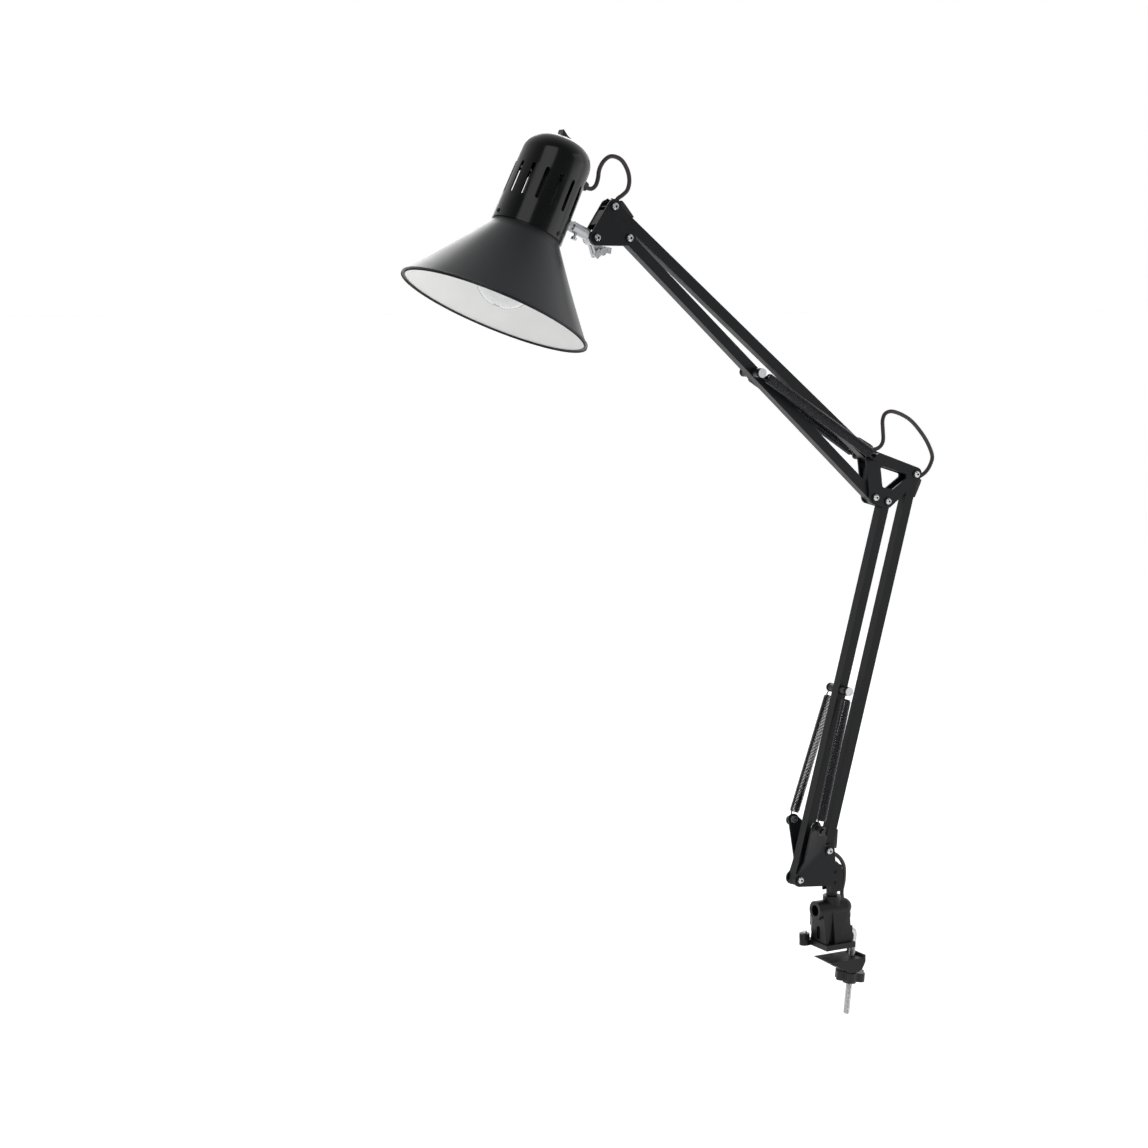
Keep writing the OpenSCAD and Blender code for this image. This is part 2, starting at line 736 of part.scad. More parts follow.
module cord_grommet() {
    color(black) in_head() translate([24, 0, 126]) rotate([0, 90, 0]) difference() {
        union() {
            cylinder(h = 10.5, r = 3.3);
            translate([0, 0, 6.1]) cylinder(h = 4.4, r1 = 4.6, r2 = 3.4);
        }
        translate([0, 0, -1]) cylinder(h = 14, r = cord_r + 0.05);
    }
}

// ---- cord ----------------------------------------------------------------

// The route starts in the lampholder, loops over the knuckle and goes in under the top bar's cover
head_loop = [on_head(0, 0, 122), on_head(1, 0, 129), on_head(6, 0, 133.5), on_head(12, 0, 132),
    on_head(17, 0, 127.6), on_head(21, 0, 126.1), on_head(25, 0, 126), on_head(30, 0, 126),
    on_head(35, 0, 126), on_head(36.5, 0, 126),
    [-246.5, 0, 663.6], [-243, 0, 666.5], [-241, 0, 672], [-239.5, 0.5, 679], [-235, 1, 686], [-228, 1, 690],
    [-219, 1, 687.5], [-213, 1, 679.5], [-211, 1, 671], [-213, 0.5, 663.5], [-218, 0, 659], [-222, 0, 656.5],
    [-223.8, 0, 653.8], on_bar(elbow_d, top_bar_ang, top_bar_len - 3.6, -5.6)];
module cord_head_loop() { color(black) sweep(smooth_route(head_loop), cord_r); }

// A cord's run inside a bar, between the mouths of its two covers
function in_bar(at, ang, len) = [
    on_bar(at, ang, entry[0], -entry[1]), on_bar(at, ang, 10, -3),
    on_bar(at, ang, 18, -0.8), on_bar(at, ang, 26, 0), on_bar(at, ang, len / 2, 0),
    on_bar(at, ang, len - 26, 0), on_bar(at, ang, len - 18, -0.8),
    on_bar(at, ang, len - 10, -3), on_bar(at, ang, len - entry[0], -entry[1])];
module cord_in_upper_bar() { color(black) sweep(in_bar(elbow_d, top_bar_ang, top_bar_len), cord_r); }
module cord_in_lower_bar() { color(black) sweep(in_bar(yoke_b, lower_ang, lower_len), cord_r); }

elbow_loop = [on_bar(elbow_d, top_bar_ang, 3.6, -5.6), [35.5, 0, 443.2], [41, 0, 443.4], [46, 0, 446],
    [48.5, 0, 451],
    [48, 0, 460], [47.5, 0, 468], [50, 0, 474], [57, 0, 476], [68, 0, 473], [79, 0, 467],
    [90, 0, 456.5], [98, 0, 446], [103, 0, 435], [101, 0, 427.5], [97, 0, 422], [92, 0, 418.4], [88, 0, 417],
    on_bar(yoke_b, lower_ang, lower_len - 3.6, -5.6)];
module cord_elbow_loop() { color(black) sweep(smooth_route(elbow_loop), cord_r); }

tail = [on_bar(yoke_b, lower_ang, 3.6, -5.6),
    [-1.4, 0, 87], [1.4, 0, 84], [5, 0, 81.6], [9, 0, 77.8], [12.4, 0, 72], [14, 1, 65],
    [15, 3, 56], [16, 7, 46], [21, 12, 36], [28.4, 14.6, 27.8]];
module cord_tail() { color(black) sweep(smooth_route(tail), cord_r); }

// From the casting's side onto the hank's top lane
free_route = [[29, 15, 27], [32, 18, 20], [34.5, 22, 15.6], [37, 27, 13.6]];
module cord_free() { color(black) sweep(smooth_route(free_route), cord_r); }

module racetrack(l, w, h) {
    translate([-(l - w) / 2, -w / 2, 0]) cube([l - w, w, h]);
    for (side = [-1, 1]) translate([side * (l - w) / 2, 0, 0]) cylinder(h = h, r = w / 2);
}

module at_hank() { translate([hank_c[0], hank_c[1], 0]) rotate([0, 0, hank_ang]) children(); }

module cord_hank() {
    color(black) at_hank() difference() {
        racetrack(hank_len, hank_w, hank_h);
        translate([0, 0, -1]) racetrack(hank_len - 4 * cord_d, hank_w - 4 * cord_d, hank_h + 2);
    }
}

tie_w = 8;
module cord_tie() {
    color([0.2, 0.2, 0.2]) at_hank() difference() {
        translate([6, -hank_w / 2 - 0.8, 0]) cube([tie_w, hank_w + 1.6, hank_h + 0.8]);
        translate([5, -hank_w / 2, -1]) cube([tie_w + 2, hank_w, hank_h + 1]);
    }
}

// Flat two-pin plug lying on the hank with its pins towards the clamp, [along, across, up] in the hank's axes
plug_l = 26;
plug_w = 23;
plug_h = 10.5;
plug_at = [3, 5, hank_h + 0.2];
module at_plug() { at_hank() translate(plug_at) mirror([1, 0, 0]) children(); }

// The cord's last stretch climbs from the hank's top lane into the plug
lead = [[14, -11.6, 12.6], [18, -11.6, 12.7], [23, -10, 13.2], [26, -6, 14], [26.8, -1.5, 15], [24.6, 3, 16.2],
    [20, 5.8, 17.4], [14, 6, 18.6], [8, 5.2, 19.6], [3, 5, 19.8]];
module cord_lead() { color(black) at_hank() sweep(smooth_route(lead, 2), cord_r); }

module plug_body() {
    color(black) at_plug() hull() {
        translate([6, -plug_w / 2, 0]) cube([plug_l - 6, plug_w, plug_h]);
        translate([0, -4, 2]) cube([6, 8, 6]);
    }
}

pin = [15, 1.5, 6.2];
pin_pitch = 12.7;
module plug_pins() {
    color(steel) at_plug() for (side = [-1, 1])
        translate([plug_l, side * pin_pitch / 2 - pin[1] / 2, (plug_h - pin[2]) / 2]) cube(pin);
}

base_casting();
clamp_bolt();
fixing_bolt();
clamp_jaw();
clamp_knob();
swivel_post();
yoke_bracket();
yoke_screws();
spring_spools();
lower_front_bar();
lower_rear_bar();
lower_crosspin();
lower_bar_covers();
elbow_bracket();
elbow_screws();
upper_lower_bar();
upper_upper_bar();
upper_crosspin();
upper_bar_covers();
spring_lower_left();
spring_lower_right();
spring_upper_left();
spring_upper_right();
head_bracket();
head_bracket_screws();
knuckle();
tilt_screw();
knuckle_thumb_screw();
swivel_stud();
stud_nut();
shade();
shade_cap();
cap_screws();
lampholder();
bulb_screw_cap();
bulb_glass();
switch_bezel();
switch_rocker();
cord_grommet();
cord_head_loop();
cord_in_upper_bar();
cord_elbow_loop();
cord_in_lower_bar();
cord_tail();
cord_free();
cord_hank();
cord_tie();
cord_lead();
plug_body();
plug_pins();
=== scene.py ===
# Swing arm desk lamp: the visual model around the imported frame, all lengths in metres.
import json
import math

import bmesh
import bpy
import numpy as np
from mathutils import Matrix, Vector


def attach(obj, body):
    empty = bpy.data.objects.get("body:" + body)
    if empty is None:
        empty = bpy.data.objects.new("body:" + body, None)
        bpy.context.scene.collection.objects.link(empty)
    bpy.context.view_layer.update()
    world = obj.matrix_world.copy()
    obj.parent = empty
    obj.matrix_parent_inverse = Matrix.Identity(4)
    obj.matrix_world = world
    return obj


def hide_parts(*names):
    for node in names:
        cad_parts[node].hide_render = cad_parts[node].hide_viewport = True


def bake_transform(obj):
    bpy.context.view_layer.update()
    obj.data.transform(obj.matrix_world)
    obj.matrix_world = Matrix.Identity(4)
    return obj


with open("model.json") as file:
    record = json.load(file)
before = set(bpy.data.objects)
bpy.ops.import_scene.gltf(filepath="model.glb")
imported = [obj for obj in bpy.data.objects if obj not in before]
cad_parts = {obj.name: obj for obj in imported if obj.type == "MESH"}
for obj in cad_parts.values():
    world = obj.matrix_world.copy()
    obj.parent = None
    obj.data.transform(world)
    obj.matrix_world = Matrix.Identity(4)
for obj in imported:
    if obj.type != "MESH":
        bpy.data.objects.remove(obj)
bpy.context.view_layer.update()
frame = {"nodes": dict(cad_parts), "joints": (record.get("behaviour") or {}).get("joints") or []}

MM = 0.001
nodes = frame["nodes"]
joints = {joint["name"]: joint for joint in frame["joints"]}
scene = bpy.context.scene


# ---- camera ----------------------------------------------------------------

CAMERA_AT = Vector((-1.1730, -1.6413, 0.5809))
CAMERA_AZIMUTH = math.radians(-29)
CAMERA_ELEVATION = math.radians(7)
SENSOR_MM = 36
LENS_MM = 72.13
# Far enough for the stage's edge
CLIP_END = 150


def make_camera():
    flat = math.cos(CAMERA_ELEVATION)
    forward = Vector((-math.sin(CAMERA_AZIMUTH) * flat, math.cos(CAMERA_AZIMUTH) * flat,
                      -math.sin(CAMERA_ELEVATION)))
    data = bpy.data.cameras.new("camera")
    data.sensor_width = SENSOR_MM
    data.lens = LENS_MM
    data.clip_end = CLIP_END
    camera = bpy.data.objects.new("camera", data)
    camera.rotation_euler = forward.to_track_quat("-Z", "Y").to_euler()
    camera.location = CAMERA_AT
    scene.collection.objects.link(camera)
    scene.camera = camera


# ---- places ------------------------------------------------------------------

def pivot(name):
    return Vector(joints[name]["pos_m"])


LOWER_ANGLE = math.radians(75)
UPPER_ANGLE = math.radians(138.4)
HEAD_TILT = math.radians(25)
YOKE_A = pivot("lower_front_follow")
YOKE_B = pivot("lower_arm_tilt")
ELBOW_B = pivot("elbow_follow")
ELBOW_C = pivot("upper_lower_follow")
ELBOW_D = pivot("upper_arm_tilt")
HEAD_B = pivot("head_plate_follow")
HEAD_C = pivot("head_tilt")
LOWER_LEN = (ELBOW_B - YOKE_B).length
UPPER_LEN = 0.336
UPPER_WAY = Vector((math.cos(UPPER_ANGLE), 0, math.sin(UPPER_ANGLE)))
TOP_BAR_LEN = (HEAD_B - ELBOW_D).length
TOP_BAR_ANGLE = math.atan2(HEAD_B.z - ELBOW_D.z, HEAD_B.x - ELBOW_D.x)
# The tilt screw in the head's axes: above the rim's plane, and out from the shade's axis
TILT_UP = 0.092
TILT_REACH = 0.057
CORD_R = 0.0018
# Where the cord meets a bar under its cover: along the bar from the pivot, and out from the bar's middle
ENTRY_ALONG = 0.0036
ENTRY_OUT = 0.0056


def head_matrix():
    """The head's own axes: origin at the rim's centre, +Z up the shade, +X towards the arm."""
    turn = Matrix.Rotation(HEAD_TILT, 4, "Y")
    origin = HEAD_C - turn @ Vector((TILT_REACH, 0, TILT_UP))
    return Matrix.Translation(origin) @ turn


HEAD = head_matrix()


def on_head(x, y, z):
    """A point in the head's axes, in mm."""
    return HEAD @ (Vector((x, y, z)) * MM)


def on_bar(at, angle, along, out):
    """A point in a bar's own axes, along it and out from it."""
    ahead = Vector((math.cos(angle), 0, math.sin(angle)))
    return at + ahead * along + Vector((-ahead.z, 0, ahead.x)) * out


def mm(*points):
    return [Vector(p) * MM for p in points]


# ---- mesh helpers --------------------------------------------------------------

def smooth_route(points, steps):
    """Catmull-Rom curve through the points."""
    route = []
    last = len(points) - 1
    for i in range(last):
        a, b, c, d = points[max(i - 1, 0)], points[i], points[i + 1], points[min(i + 2, last)]
        for k in range(steps):
            t = k / steps
            route.append(0.5 * (2 * b + (c - a) * t + (2 * a - 5 * b + 4 * c - d) * t * t
                                + (3 * b - a - 3 * c + d) * t ** 3))
    route.append(points[last])
    return route


def resample(route, step):
    """Points an even step apart along a route."""
    line = np.array([tuple(p) for p in route])
    run = np.concatenate([[0], np.cumsum(np.linalg.norm(np.diff(line, axis=0), axis=1))])
    count = max(2, int(round(run[-1] / step)) + 1)
    at = np.linspace(0, run[-1], count)
    return [Vector(p) for p in np.stack([np.interp(at, run, line[:, k]) for k in range(3)], 1)]


def object_from(name, vertices, faces, materials, smooth=True, face_material=None):
    data = bpy.data.meshes.new(name)
    data.from_pydata([tuple(v) for v in vertices], [], faces)
    for item in materials:
        data.materials.append(item)
    if face_material:
        data.polygons.foreach_set("material_index", face_material)
    if smooth:
        data.polygons.foreach_set("use_smooth", [True] * len(data.polygons))
    data.update()
    piece = bpy.data.objects.new(name, data)
    scene.collection.objects.link(piece)
    return piece


def sharpen(piece, degrees=35):
    """Smooth shading that breaks at edges sharper than this."""
    piece.data.polygons.foreach_set("use_smooth", [True] * len(piece.data.polygons))
    piece.data.set_sharp_from_angle(angle=math.radians(degrees))
    return piece


def tube(name, route, radius, material, sides):
    """Closed round tube along a route. radius is one number, or a function of (point's number, angle)."""
    count = len(route)
    ahead = [(route[min(i + 1, count - 1)] - route[max(i - 1, 0)]).normalized() for i in range(count)]
    side = ahead[0].orthogonal().normalized()
    vertices, faces = [], []
    for i, (at, way) in enumerate(zip(route, ahead)):
        side = (side - way * side.dot(way)).normalized()
        up = way.cross(side)
        for k in range(sides):
            angle = 2 * math.pi * k / sides
            r = radius(i, angle) if callable(radius) else radius
            vertices.append(at + (side * math.cos(angle) + up * math.sin(angle)) * r)
    for i in range(count - 1):
        for k in range(sides):
            a, b = i * sides + k, i * sides + (k + 1) % sides
            faces.append((a, b, b + sides, a + sides))
    faces.append(tuple(range(sides - 1, -1, -1)))
    faces.append(tuple(range((count - 1) * sides, count * sides)))
    return sharpen(object_from(name, vertices, faces, [material]), 50)


def lathe(name, profile, place, materials, segments, pick=None):
    """Turns a closed outline of (radius, height) in mm about the local Z of place."""
    count = len(profile)
    vertices = []
    for k in range(segments):
        angle = 2 * math.pi * k / segments
        for r, z in profile:
            vertices.append(place @ (Vector((r * math.cos(angle), r * math.sin(angle), z)) * MM))
    faces, chosen = [], []
    for k in range(segments):
        near, far = k * count, (k + 1) % segments * count
        for i in range(count):
            j = (i + 1) % count
            faces.append((near + i, far + i, far + j, near + j))
            chosen.append(pick(i) if pick else 0)
    piece = object_from(name, vertices, faces, materials, face_material=chosen)
    work = bmesh.new()
    work.from_mesh(piece.data)
    bmesh.ops.remove_doubles(work, verts=work.verts, dist=1e-6)
    bmesh.ops.recalc_face_normals(work, faces=work.faces)
    work.to_mesh(piece.data)
    work.free()
    return sharpen(piece)


def arc(centre, radius, start, end, steps):
    """Points (x, y) on an arc in mm, by degrees."""
    turn = [math.radians(start + (end - start) * k / steps) for k in range(steps + 1)]
    return [(centre[0] + radius * math.cos(a), centre[1] + radius * math.sin(a)) for a in turn]


# ---- materials -----------------------------------------------------------------

class Shader:
    """A material with its own coordinates in metres, and short ways to add noise, bump and edge wear."""

    def __init__(self, name, color, roughness, metallic=0.0):
        self.material = bpy.data.materials.new(name)
        self.material.use_nodes = True
        self.tree = self.material.node_tree
        self.surface = self.tree.nodes["Principled BSDF"]
        self.roughness = roughness
        self.surface.inputs["Base Color"].default_value = (*color, 1)
        self.surface.inputs["Roughness"].default_value = roughness
        self.surface.inputs["Metallic"].default_value = metallic
        self.place = self.tree.nodes.new("ShaderNodeTexCoord").outputs["Object"]
        self.height = None

    def node(self, kind, **inputs):
        made = self.tree.nodes.new(kind)
        for key, value in inputs.items():
            socket = made.inputs[key]
            if hasattr(value, "is_output"):
                self.tree.links.new(value, socket)
            else:
                socket.default_value = value
        return made

    def noise(self, per_mm, detail=3.0, rough=0.5):
        made = self.node("ShaderNodeTexNoise", Vector=self.place, Scale=per_mm / MM, Detail=detail,
                         Roughness=rough)
        return made.outputs["Fac"]

    def ramp(self, value, low, high, start, end):
        """Maps a value from the range low..high to start..end."""
        made = self.tree.nodes.new("ShaderNodeMapRange")
        self.tree.links.new(value, made.inputs["Value"])
        for key, number in (("From Min", low), ("From Max", high), ("To Min", start), ("To Max", end)):
            made.inputs[key].default_value = number
        return made.outputs["Result"]

    def mix(self, factor, first, second):
        made = self.tree.nodes.new("ShaderNodeMix")
        made.data_type = "RGBA"
        self.tree.links.new(factor, made.inputs["Factor"])
        for socket, value in ((made.inputs[6], first), (made.inputs[7], second)):
            if hasattr(value, "is_output"):
                self.tree.links.new(value, socket)
            else:
                socket.default_value = (*value, 1)
        return made.outputs[2]

    def vary(self, per_mm, light, dark, rough_swing):
        """Uneven colour and gloss over the surface."""
        cloud = self.noise(per_mm, 4.0, 0.6)
        colour = self.mix(self.ramp(cloud, 0.3, 0.7, 0, 1), dark, light)
        self.tree.links.new(colour, self.surface.inputs["Base Color"])
        gloss = self.ramp(cloud, 0.3, 0.7, self.roughness - rough_swing, self.roughness + rough_swing)
        self.tree.links.new(gloss, self.surface.inputs["Roughness"])
        return colour

    def bump(self, height, distance_mm, strength):
        made = self.tree.nodes.new("ShaderNodeBump")
        made.inputs["Strength"].default_value = strength
        made.inputs["Distance"].default_value = distance_mm * MM
        self.tree.links.new(height, made.inputs["Height"])
        if self.height is not None:
            self.tree.links.new(self.height, made.inputs["Normal"])
        self.height = made.outputs["Normal"]
        self.tree.links.new(self.height, self.surface.inputs["Normal"])

    def wear(self, base, bare, amount, radius_mm=0.5):
        """Paint rubbed thin along the edges."""
        soft = self.node("ShaderNodeBevel", Radius=radius_mm * MM)
        flat = self.tree.nodes.new("ShaderNodeNewGeometry").outputs["Normal"]
        dot = self.tree.nodes.new("ShaderNodeVectorMath")
        dot.operation = "DOT_PRODUCT"
        self.tree.links.new(soft.outputs["Normal"], dot.inputs[0])
        self.tree.links.new(flat, dot.inputs[1])
        edge = self.ramp(dot.outputs["Value"], 0.97, 0.80, 0, 1)
        patchy = self.tree.nodes.new("ShaderNodeMath")
        patchy.operation = "MULTIPLY"
        self.tree.links.new(edge, patchy.inputs[0])
        self.tree.links.new(self.ramp(self.noise(0.4, 4.0), 0.45, 0.62, 0, amount), patchy.inputs[1])
        worn = self.mix(patchy.outputs[0], base, bare)
        self.tree.links.new(worn, self.surface.inputs["Base Color"])

    def set(self, **sockets):
        for key, value in sockets.items():
            self.surface.inputs[key.replace("_", " ")].default_value = value


def black_paint():
    shader = Shader("black_paint", (0.0045, 0.0051, 0.0066), 0.40)
    base = shader.vary(0.06, (0.0055, 0.0062, 0.0079), (0.0036, 0.0042, 0.0055), 0.05)
    shader.wear(base, (0.026, 0.027, 0.031), 0.35)
    shader.bump(shader.noise(1.6, 2.0), 0.02, 0.25)
    shader.bump(shader.noise(0.25, 2.0), 0.03, 0.12)
    shader.set(Specular_IOR_Level=0.24)
    return shader.material


def black_casting():
    shader = Shader("black_casting", (0.0052, 0.0055, 0.0068), 0.42)
    base = shader.vary(0.12, (0.0064, 0.0068, 0.0082), (0.0041, 0.0044, 0.0056), 0.08)
    shader.wear(base, (0.045, 0.046, 0.049), 0.4, 0.6)
    shader.bump(shader.noise(0.8, 4.0, 0.6), 0.08, 0.35)
    shader.bump(shader.noise(3.0, 2.0), 0.02, 0.25)
    shader.set(Specular_IOR_Level=0.3)
    return shader.material


def shade_black():
    shader = Shader("shade_black", (0.0083, 0.0098, 0.0128), 0.34)
    shader.vary(0.02, (0.0093, 0.0109, 0.0141), (0.0073, 0.0087, 0.0113), 0.04)
    shader.bump(shader.noise(0.9, 2.0), 0.02, 0.14)
    shader.bump(shader.noise(0.035, 2.0), 0.25, 0.10)
    shader.set(Specular_IOR_Level=0.42)
    return shader.material


def shade_white():
    shader = Shader("shade_white", (0.80, 0.80, 0.79), 0.42)
    shader.vary(0.03, (0.82, 0.82, 0.81), (0.77, 0.77, 0.76), 0.05)
    shader.bump(shader.noise(0.9, 2.0), 0.03, 0.2)
    return shader.material


def black_gloss():
    shader = Shader("black_gloss", (0.0026, 0.003, 0.0033), 0.18)
    shader.vary(0.03, (0.0032, 0.0037, 0.004), (0.002, 0.0024, 0.0027), 0.03)
    shader.bump(shader.noise(0.5, 2.0), 0.015, 0.10)
    shader.set(Specular_IOR_Level=0.30, Coat_Weight=0.10, Coat_Roughness=0.08)
    return shader.material


def black_plastic():
    shader = Shader("black_plastic", (0.009, 0.009, 0.010), 0.42)
    shader.vary(0.2, (0.011, 0.011, 0.012), (0.0075, 0.0075, 0.0085), 0.06)
    shader.set(Specular_IOR_Level=0.4)
    shader.bump(shader.noise(3.5, 2.0), 0.03, 0.3)
    return shader.material


def bright_steel():
    shader = Shader("bright_steel", (0.60, 0.605, 0.62), 0.25, 1.0)
    shader.vary(0.5, (0.65, 0.655, 0.67), (0.50, 0.505, 0.52), 0.08)
    shader.bump(shader.noise(2.5, 3.0), 0.012, 0.25)
    return shader.material


def spring_nickel():
    shader = Shader("spring_nickel", (0.045, 0.045, 0.05), 0.26, 1.0)
    shader.vary(0.6, (0.055, 0.055, 0.06), (0.035, 0.035, 0.04), 0.06)
    shader.bump(shader.noise(4.0, 2.0), 0.01, 0.2)
    return shader.material


def zinc_casting():
    shader = Shader("zinc_casting", (0.48, 0.49, 0.51), 0.32, 1.0)
    base = shader.vary(0.4, (0.52, 0.53, 0.55), (0.40, 0.41, 0.43), 0.08)
    shader.wear(base, (0.62, 0.63, 0.64), 0.5)
    shader.bump(shader.noise(1.2, 4.0), 0.03, 0.3)
    return shader.material


def white_plastic():
    shader = Shader("white_plastic", (0.50, 0.53, 0.55), 0.35)
    shader.vary(0.2, (0.54, 0.57, 0.59), (0.46, 0.49, 0.51), 0.05)
    shader.bump(shader.noise(3.0, 2.0), 0.02, 0.25)
    return shader.material


def clear_glass():
    shader = Shader("clear_glass", (0.97, 0.98, 0.98), 0.02)
    shader.set(Transmission_Weight=1.0, IOR=1.45)
    shader.bump(shader.noise(0.04, 2.0), 0.2, 0.08)
    return shader.material


def cord_pvc():
    shader = Shader("cord_pvc", (0.034, 0.027, 0.025), 0.44)
    shader.vary(0.15, (0.040, 0.032, 0.029), (0.027, 0.021, 0.020), 0.06)
    shader.set(Specular_IOR_Level=0.4)
    shader.bump(shader.noise(1.5, 3.0), 0.03, 0.3)
    return shader.material


def tungsten():
    shader = Shader("tungsten", (0.45, 0.43, 0.40), 0.35, 1.0)
    shader.vary(2.0, (0.5, 0.48, 0.45), (0.35, 0.33, 0.30), 0.05)
    return shader.material


def make_materials():
    makers = (
        black_paint, black_casting, shade_black, shade_white, black_gloss, black_plastic, bright_steel,
        spring_nickel, zinc_casting, white_plastic, clear_glass, cord_pvc, tungsten)
    return {maker.__name__: maker() for maker in makers}


make_camera()
look = make_materials()


# ---- cords -----------------------------------------------------------------------

HANK_AT = Vector((0.0329, 0.049, 0))
HANK_TURN = math.radians(55)
HANK_STRAIGHT = 0.036
HANK_OUTER = 0.0152
LAYERS = 4
PITCH = 2 * CORD_R
TURN_STEPS = 64
# The change of layer or lane starts at this share of a turn, in its last bend
SHIFT_FROM = 0.7
# The last turn stops at this share, where the lead leaves it
LAST_PART = 0.20


def on_hank(along, across, up):
    return HANK_AT + Matrix.Rotation(HANK_TURN, 3, "Z") @ Vector((along, across, up))


def racetrack(radius, fraction):
    """A place on a hank's turn by the share of the turn done, from the near end of the first straight run."""
    half = HANK_STRAIGHT / 2
    bend = math.pi * radius
    run = fraction * 2 * (HANK_STRAIGHT + bend)
    if run < HANK_STRAIGHT:
        return -half + run, -radius
    run -= HANK_STRAIGHT
    if run < bend:
        return half + radius * math.sin(run / radius), -radius * math.cos(run / radius)
    run -= bend
    if run < HANK_STRAIGHT:
        return half - run, radius
    run -= HANK_STRAIGHT
    return -half - radius * math.sin(run / radius), radius * math.cos(run / radius)


def hank_turns():
    """Outer turns down through the layers, then inner turns back up to the top."""
    route = []
    top = CORD_R + (LAYERS - 1) * PITCH
    for turn in range(2 * LAYERS):
        going_down = turn < LAYERS
        for k in range(TURN_STEPS):
            part = k / TURN_STEPS
            shift = min(1, max(0, (part - SHIFT_FROM) / (1 - SHIFT_FROM)))
            ease = shift * shift * (3 - 2 * shift)
            if turn == 2 * LAYERS - 1 and part > LAST_PART:
                break
            layer = turn if going_down else 2 * LAYERS - 1 - turn
            step_down = ease if turn < LAYERS - 1 else (0 if turn == LAYERS - 1 else -ease)
            lane = 0 if going_down else 1
            if turn == LAYERS - 1:
                lane = ease
            x, y = racetrack(HANK_OUTER - lane * PITCH, part)
            route.append(on_hank(x, y, top - (layer + step_down) * PITCH))
    return route


TAIL = [on_bar(YOKE_B, LOWER_ANGLE, ENTRY_ALONG, -ENTRY_OUT)] + mm(
    (-1.4, 0, 87), (1.4, 0, 84), (5, 0, 81.6), (9, 0, 77.8), (12.4, 0, 72), (14, 1, 65),
    (15, 3, 56), (16, 7, 46), (21, 12, 36), (28.4, 14.6, 27.8))
FREE_ROUTE = mm((29, 15, 27), (32, 18, 20), (34.5, 22, 15.6), (37, 27, 13.6))
LEAD = [on_hank(*point) for point in mm(
    (14, -11.6, 12.6), (18, -11.6, 12.7), (23, -10, 13.2), (26, -6, 14), (26.8, -1.5, 15), (24.6, 3, 16.2),
    (20, 5.8, 17.4), (14, 6, 18.6), (8, 5.2, 19.6), (3, 5, 19.8))]
FREE_STEP = 0.0016
LOOP_STEP = 0.0015


def make_free_cord():
    turns = hank_turns()
    joined = smooth_route(FREE_ROUTE + turns[2::2] + LEAD[1:], 4)
    route = resample(joined, FREE_STEP)
    cord = tube("mains_cord", route, CORD_R, look["cord_pvc"], 12)
    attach(cord, "clamp")
    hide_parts("cord_free", "cord_hank", "cord_lead")
    return cord, route


free_cord, free_path = make_free_cord()

# Steps between two given points of a loop, and the points where the loops and the tail are cut
LOOP_STEPS = 10
HEAD_CUTS = (14, 19)
ELBOW_CUT = 8
TAIL_CUT = 6
HEAD_LOOP = [on_head(*point) for point in (
    (0, 0, 122), (1, 0, 129), (6, 0, 133.5), (12, 0, 132), (17, 0, 127.6), (21, 0, 126.1), (25, 0, 126),
    (30, 0, 126), (35, 0, 126), (36.5, 0, 126))] + mm(
    (-246.5, 0, 663.6), (-243, 0, 666.5), (-241, 0, 672), (-239.5, 0.5, 679), (-235, 1, 686), (-228, 1, 690),
    (-219, 1, 687.5), (-213, 1, 679.5), (-211, 1, 671), (-213, 0.5, 663.5), (-218, 0, 659), (-222, 0, 656.5),
    (-223.8, 0, 653.8)) + [on_bar(ELBOW_D, TOP_BAR_ANGLE, TOP_BAR_LEN - ENTRY_ALONG, -ENTRY_OUT)]
ELBOW_LOOP = [on_bar(ELBOW_D, TOP_BAR_ANGLE, ENTRY_ALONG, -ENTRY_OUT)] + mm(
    (35.5, 0, 443.2), (41, 0, 443.4), (46, 0, 446), (48.5, 0, 451), (48, 0, 460), (47.5, 0, 468),
    (50, 0, 474), (57, 0, 476), (68, 0, 473), (79, 0, 467), (90, 0, 456.5), (98, 0, 446), (103, 0, 435),
    (101, 0, 427.5), (97, 0, 422), (92, 0, 418.4), (88, 0, 417)) + [
    on_bar(YOKE_B, LOWER_ANGLE, LOWER_LEN - ENTRY_ALONG, -ENTRY_OUT)]


def split_route(route, at):
    """A smooth route cut in two at one of its given points, each half keeping the whole curve's shape."""
    whole = smooth_route(route, LOOP_STEPS)
    return whole[:at * LOOP_STEPS + 1], whole[at * LOOP_STEPS:]


def blended(name, route):
    """A length of cord that runs across one joint."""
    piece = tube(name, resample(route, LOOP_STEP), CORD_R, look["cord_pvc"], 14)
    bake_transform(piece)
    return piece


def make_arm_cords():
    """Each loop is cut at given points, and each length runs across one joint of the arm."""
    to_knuckle, rest = split_route(HEAD_LOOP, HEAD_CUTS[0])
    middle = (HEAD_CUTS[1] - HEAD_CUTS[0]) * LOOP_STEPS
    head_part = blended("cord_at_head", to_knuckle)
    blended("cord_over_knuckle", rest[:middle + 1])
    blended("cord_into_upper_bar", rest[middle:])
    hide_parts("cord_head_loop")
    upper_half, lower_half = split_route(ELBOW_LOOP, ELBOW_CUT)
    elbow_part = blended("cord_at_elbow_upper", upper_half)
    blended("cord_at_elbow_lower", lower_half)
    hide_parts("cord_elbow_loop")
    tail_top, tail_end = split_route(TAIL, TAIL_CUT)
    tail_part = blended("cord_tail_upper", tail_top)
    blended("cord_tail_lower", tail_end)
    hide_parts("cord_tail")


make_arm_cords()


# ---- springs ---------------------------------------------------------------------

SPRING_R = 0.0039
WIRE_R = 0.00055
SPRING_STEP = 0.0013
TURN_SIDES = 22
PIN_R = 0.0031
# From a pin to the coil: the hook's length and the gap after it
HOOK = 0.0062
HOOK_GAP = 0.0012
